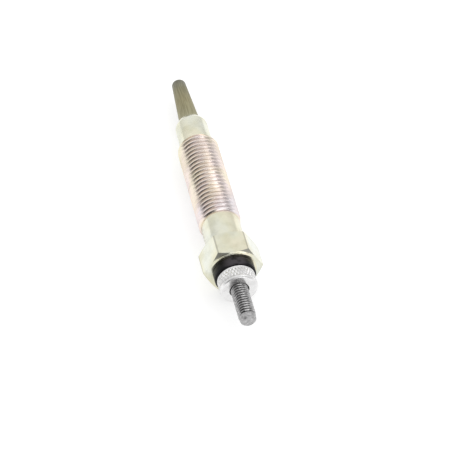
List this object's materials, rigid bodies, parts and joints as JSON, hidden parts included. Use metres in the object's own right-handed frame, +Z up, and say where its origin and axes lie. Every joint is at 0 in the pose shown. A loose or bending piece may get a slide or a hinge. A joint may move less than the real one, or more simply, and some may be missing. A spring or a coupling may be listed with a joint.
{
  "type": "diesel glow plug",
  "caption": "Metal-sheath glow plug with a hex, a long threaded body, a conical seat, a tapered heater sheath and a threaded terminal stud.",
  "frame": {"origin": "on the surface that it lies on, under the middle of its length", "axes": "+Y along the plug's axis from the terminal stud to the heater tip, +Z up, square to the hex flat that it lies on"},
  "size_m": [0.0138, 0.082, 0.012],
  "materials": {
    "zinc_plate": "satin",
    "heat_tinted_sheath": "satin",
    "coil_wire": "satin",
    "packed_powder": "matte",
    "seal_rubber": "matte",
    "plain_steel": "satin",
    "black_resin": "gloss",
    "bright_steel": "satin"
  },
  "bodies": {
    "root": {"body_shell": "zinc_plate", "heater_sheath": "heat_tinted_sheath", "heating_coil": "coil_wire", "regulating_coil": "coil_wire", "powder_fill": "packed_powder", "sheath_seal": "seal_rubber", "centre_rod": "plain_steel", "seal_ring": "seal_rubber", "insulating_bush": "black_resin", "terminal_collar": "bright_steel"}
  },
  "joints": []
}
